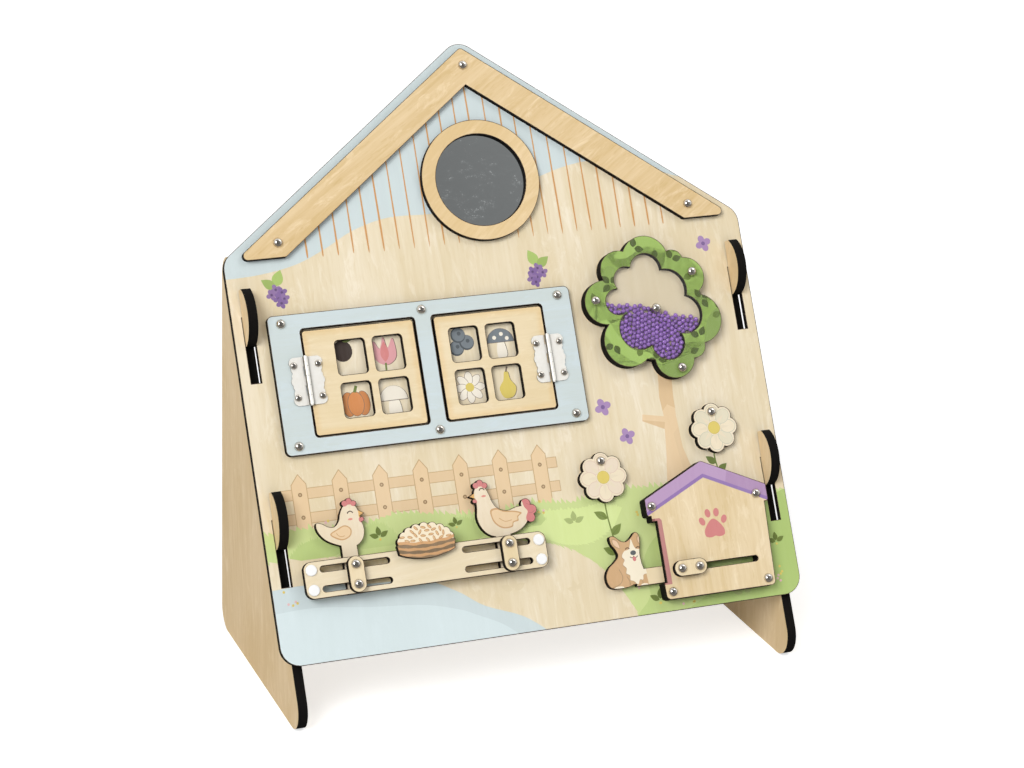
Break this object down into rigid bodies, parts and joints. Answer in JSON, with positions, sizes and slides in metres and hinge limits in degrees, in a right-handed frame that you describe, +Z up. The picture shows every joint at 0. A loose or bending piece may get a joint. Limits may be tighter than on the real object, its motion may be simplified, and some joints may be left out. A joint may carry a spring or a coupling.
{
  "type": "wooden busy board",
  "caption": "House-shaped plywood activity board that leans on two hooked side panels, with shutters, sliding animals, turning flowers, a bead-filled tree and a round mirror.",
  "frame": {"origin": "on the floor, in the middle of the board's width and of the side panels' depth", "axes": "+Z up, +X to the right as seen from the play side, -Y towards the child"},
  "size_m": [0.34, 0.1806, 0.3729],
  "materials": {
    "panel_ply": "birch ply with a printed face and dark laser-cut edges",
    "side_ply": "clear-coated birch ply with dark laser-cut edges",
    "trim_ply": "clear-coated birch ply",
    "blue_ply": "pale blue painted ply",
    "shutter_ply": "clear-coated birch ply",
    "green_ply": "green printed ply",
    "petal_ply": "printed ply, pale petals and a yellow middle",
    "hen_ply": "printed ply, cream",
    "dog_ply": "printed ply, tan and cream",
    "kennel_ply": "printed ply with a lilac roof",
    "bowl_ply": "printed ply, striped",
    "acrylic_mirror": "acrylic safety mirror",
    "clear_acrylic": "clear acrylic",
    "beads": "glossy purple beads",
    "nickel": "bright nickel plate",
    "white_cap": "white caps and washers"
  },
  "bodies": {
    "board": {"front_panel": "panel_ply", "left_side": "side_ply", "right_side": "side_ply", "roof_trim": "trim_ply", "trim_screws": "nickel", "mirror_ring": "trim_ply", "mirror_disc": "acrylic_mirror", "window_frame": "blue_ply", "window_screws": "nickel", "left_frame_leaf": "nickel", "right_frame_leaf": "nickel", "left_hinge_pin": "nickel", "right_hinge_pin": "nickel", "frame_leaf_screws": "nickel", "slide_plate": "trim_ply", "slide_spacers": "trim_ply", "slide_rivets": "white_cap", "feed_bowl": "bowl_ply", "tree_washer": "white_cap", "tree_sleeve": "nickel", "tree_pivot_screw": "nickel", "flower_washers": "white_cap", "flower_screws": "nickel", "kennel_front": "kennel_ply", "kennel_spacer": "side_ply", "kennel_screws": "nickel", "rear_nuts": "nickel"},
    "left_shutter": {"left_shutter": "shutter_ply", "left_shutter_leaf": "nickel", "left_shutter_screws": "nickel"},
    "right_shutter": {"right_shutter": "shutter_ply", "right_shutter_leaf": "nickel", "right_shutter_screws": "nickel"},
    "left_hen": {"left_hen": "hen_ply", "left_hen_clip": "trim_ply", "left_hen_screws": "nickel"},
    "right_hen": {"right_hen": "hen_ply", "right_hen_clip": "trim_ply", "right_hen_screws": "nickel"},
    "tree": {"tree_back": "side_ply", "tree_ring": "green_ply", "tree_cover": "clear_acrylic", "tree_beads": "beads", "tree_screws": "nickel"},
    "left_flower": {"left_flower": "petal_ply"},
    "right_flower": {"right_flower": "petal_ply"},
    "dog": {"dog": "dog_ply", "dog_clip": "trim_ply", "dog_clip_screws": "nickel"}
  },
  "joints": [
    {"name": "left_shutter_hinge", "type": "hinge", "parent": "board", "child": "left_shutter", "pos_m": [-0.12965, -0.0112, 0.19541], "axis": [0, -0.4586, -0.8886], "range_deg": [0, 150]},
    {"name": "right_shutter_hinge", "type": "hinge", "parent": "board", "child": "right_shutter", "pos_m": [0.02586, -0.01249, 0.19293], "axis": [0, 0.4586, 0.8886], "range_deg": [0, 150]},
    {"name": "left_hen_slide", "type": "slide", "parent": "board", "child": "left_hen", "axis": [1, 0, 0], "range_m": [-0.0175, 0.0195]},
    {"name": "right_hen_slide", "type": "slide", "parent": "board", "child": "right_hen", "axis": [1, 0, 0], "range_m": [-0.0265, 0.011]},
    {"name": "tree_spin", "type": "hinge", "parent": "board", "child": "tree", "pos_m": [0.1, 0.00002, 0.21258], "axis": [0, -0.8886, 0.4586], "continuous": true},
    {"name": "left_flower_spin", "type": "hinge", "parent": "board", "child": "left_flower", "pos_m": [0.0479, -0.04088, 0.13117], "axis": [0, -0.8886, 0.4586], "continuous": true},
    {"name": "right_flower_spin", "type": "hinge", "parent": "board", "child": "right_flower", "pos_m": [0.127, -0.0307, 0.15089], "axis": [0, -0.8886, 0.4586], "continuous": true},
    {"name": "dog_slide", "type": "slide", "parent": "board", "child": "dog", "axis": [1, 0, 0], "range_m": [0, 0.038]}
  ]
}
